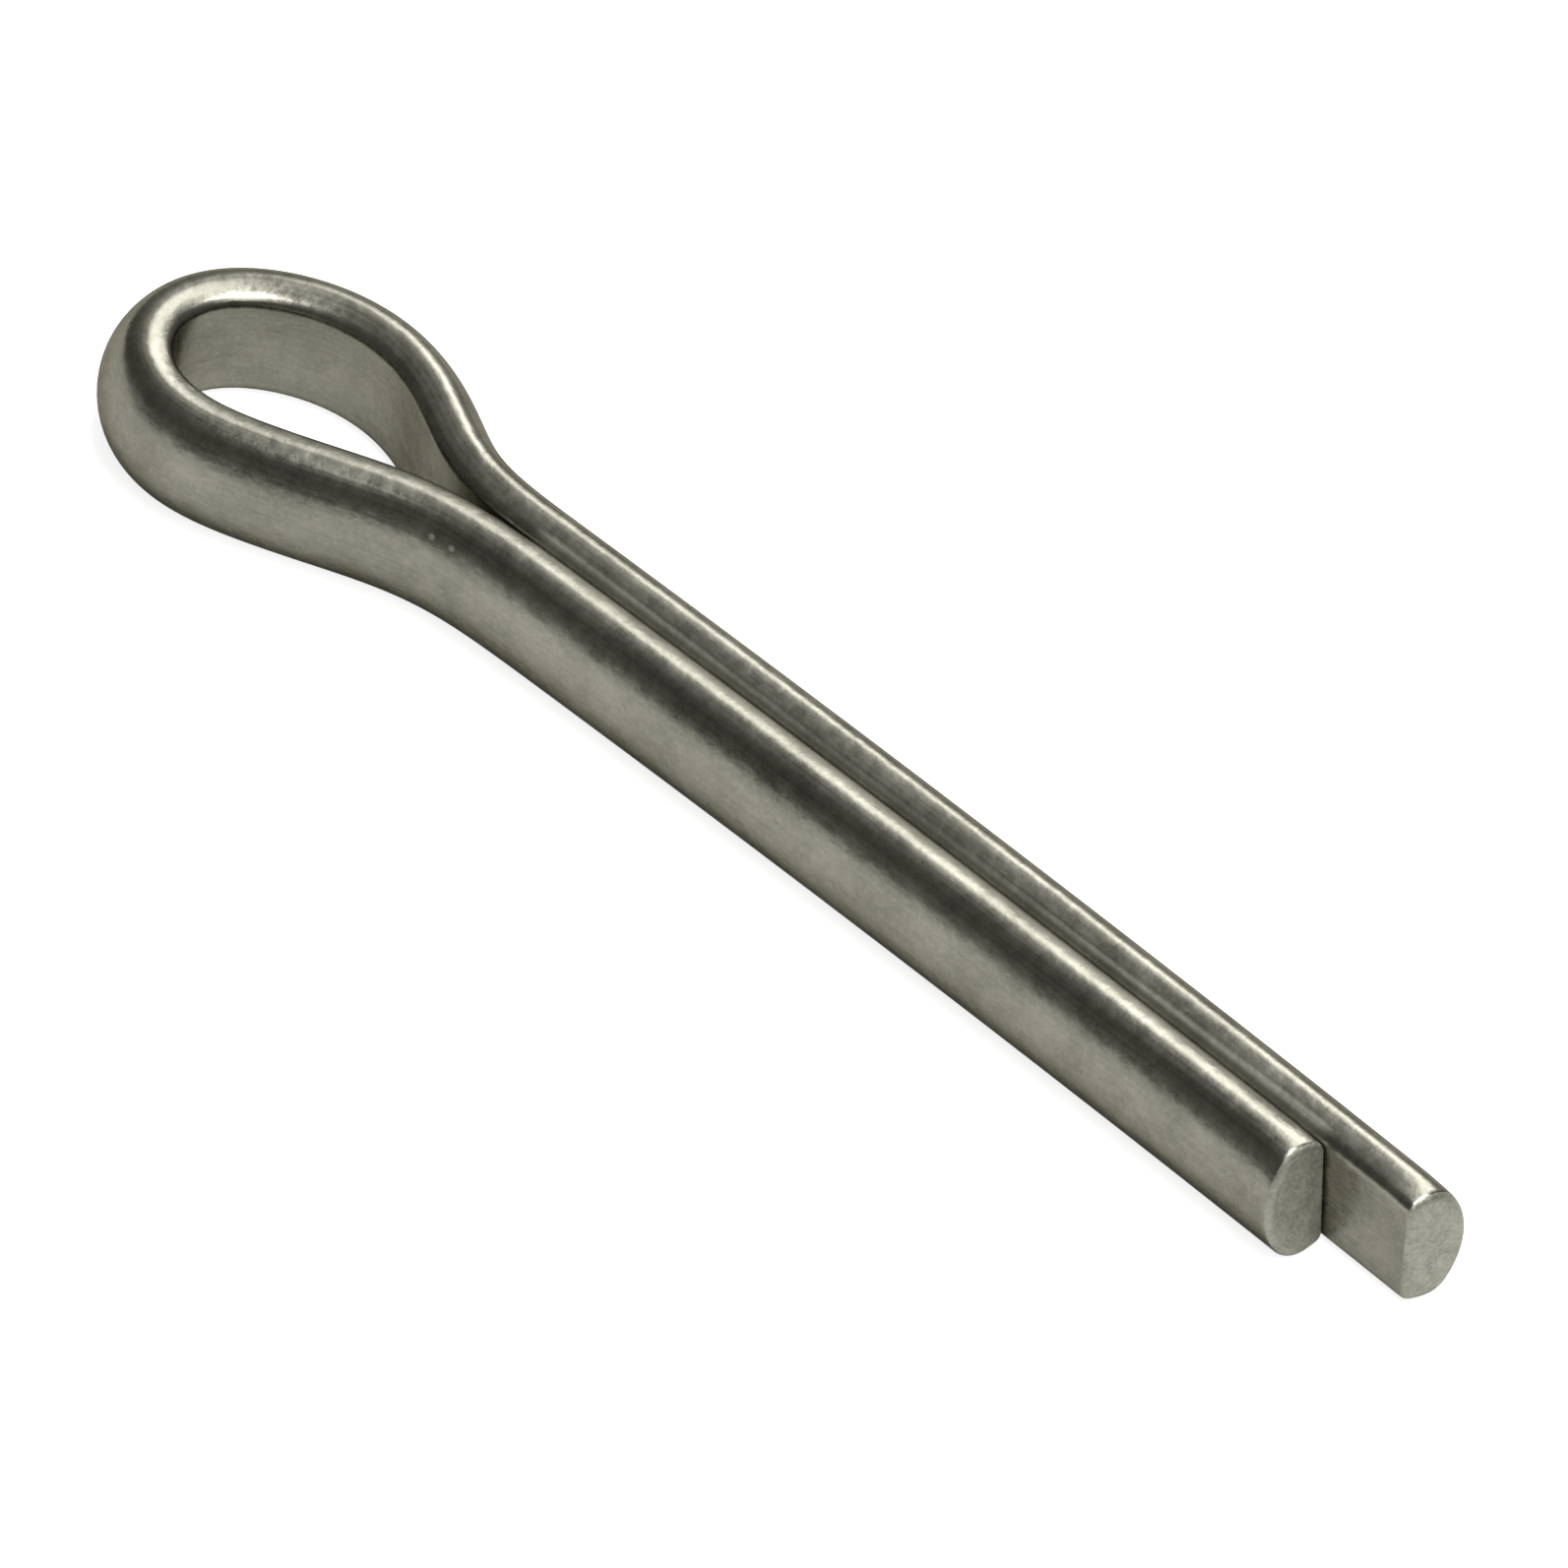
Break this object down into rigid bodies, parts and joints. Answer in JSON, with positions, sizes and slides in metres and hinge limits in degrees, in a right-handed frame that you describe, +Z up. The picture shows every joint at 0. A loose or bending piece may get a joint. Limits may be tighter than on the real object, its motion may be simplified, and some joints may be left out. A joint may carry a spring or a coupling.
{
  "type": "cotter pin",
  "caption": "Split pin folded from half-round steel wire, with a teardrop eye and two closed prongs of unequal length, bent apart behind a nut, clevis or shaft to keep it in place.",
  "frame": {"origin": "on the shank's axis, where the straight shank begins under the eye", "axes": "+X along the shank towards the prong tips, +Z up out of the eye's plane as the pin lies flat, long prong on the +Y side"},
  "size_m": [0.0521, 0.0095, 0.0042],
  "materials": {
    "cotter_pin": "bright zinc plate over drawn steel wire"
  },
  "bodies": {
    "root": {"cotter_pin": "cotter_pin"}
  },
  "joints": []
}
